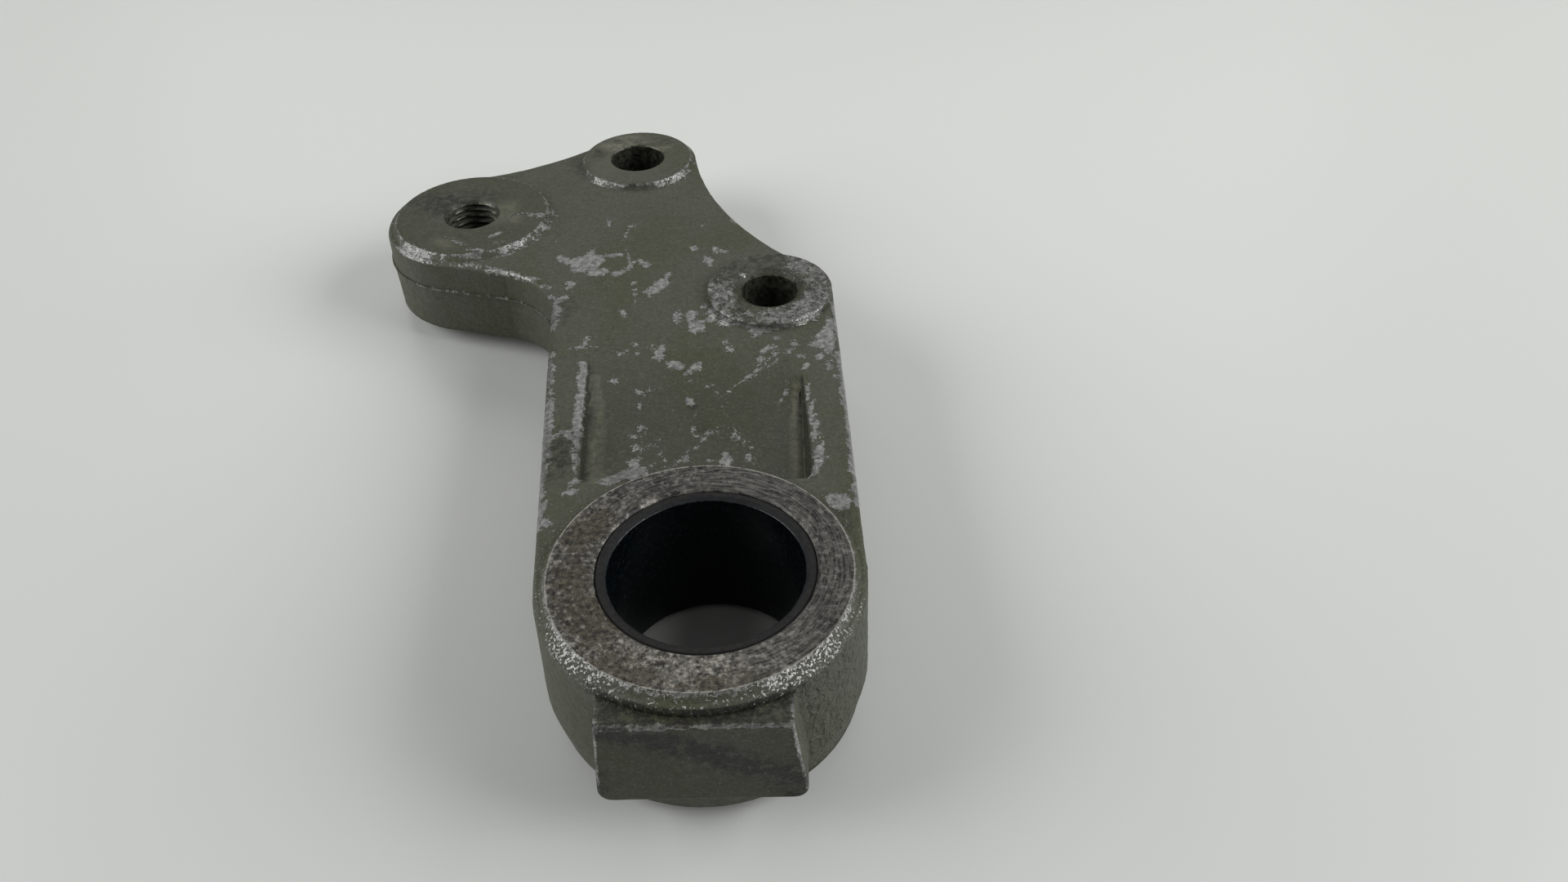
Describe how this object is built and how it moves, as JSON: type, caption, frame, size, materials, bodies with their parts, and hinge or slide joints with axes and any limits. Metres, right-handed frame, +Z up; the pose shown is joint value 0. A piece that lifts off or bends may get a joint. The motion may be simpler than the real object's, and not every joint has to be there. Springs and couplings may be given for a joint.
{
  "type": "brake caliper bracket",
  "caption": "Cast brake caliper bracket: a bushed pivot hub with an anchor lug, a recessed arm, and a caliper end with a tapped boss and clearance bosses.",
  "frame": {"origin": "on the axis of the pivot bush, at the hub's mid-height", "axes": "+Z up the pivot axis towards the caliper's seats, +Y along the arm from the hub to the caliper end, +X to the right of the arm"},
  "size_m": [0.0797, 0.1401, 0.0216],
  "materials": {
    "casting": "satin olive grey paint, chipped to bare aluminium, with machined faces left bare",
    "bush": "matte dark grey"
  },
  "bodies": {
    "root": {"bracket_casting": "casting", "pivot_bush": "bush"}
  },
  "joints": []
}
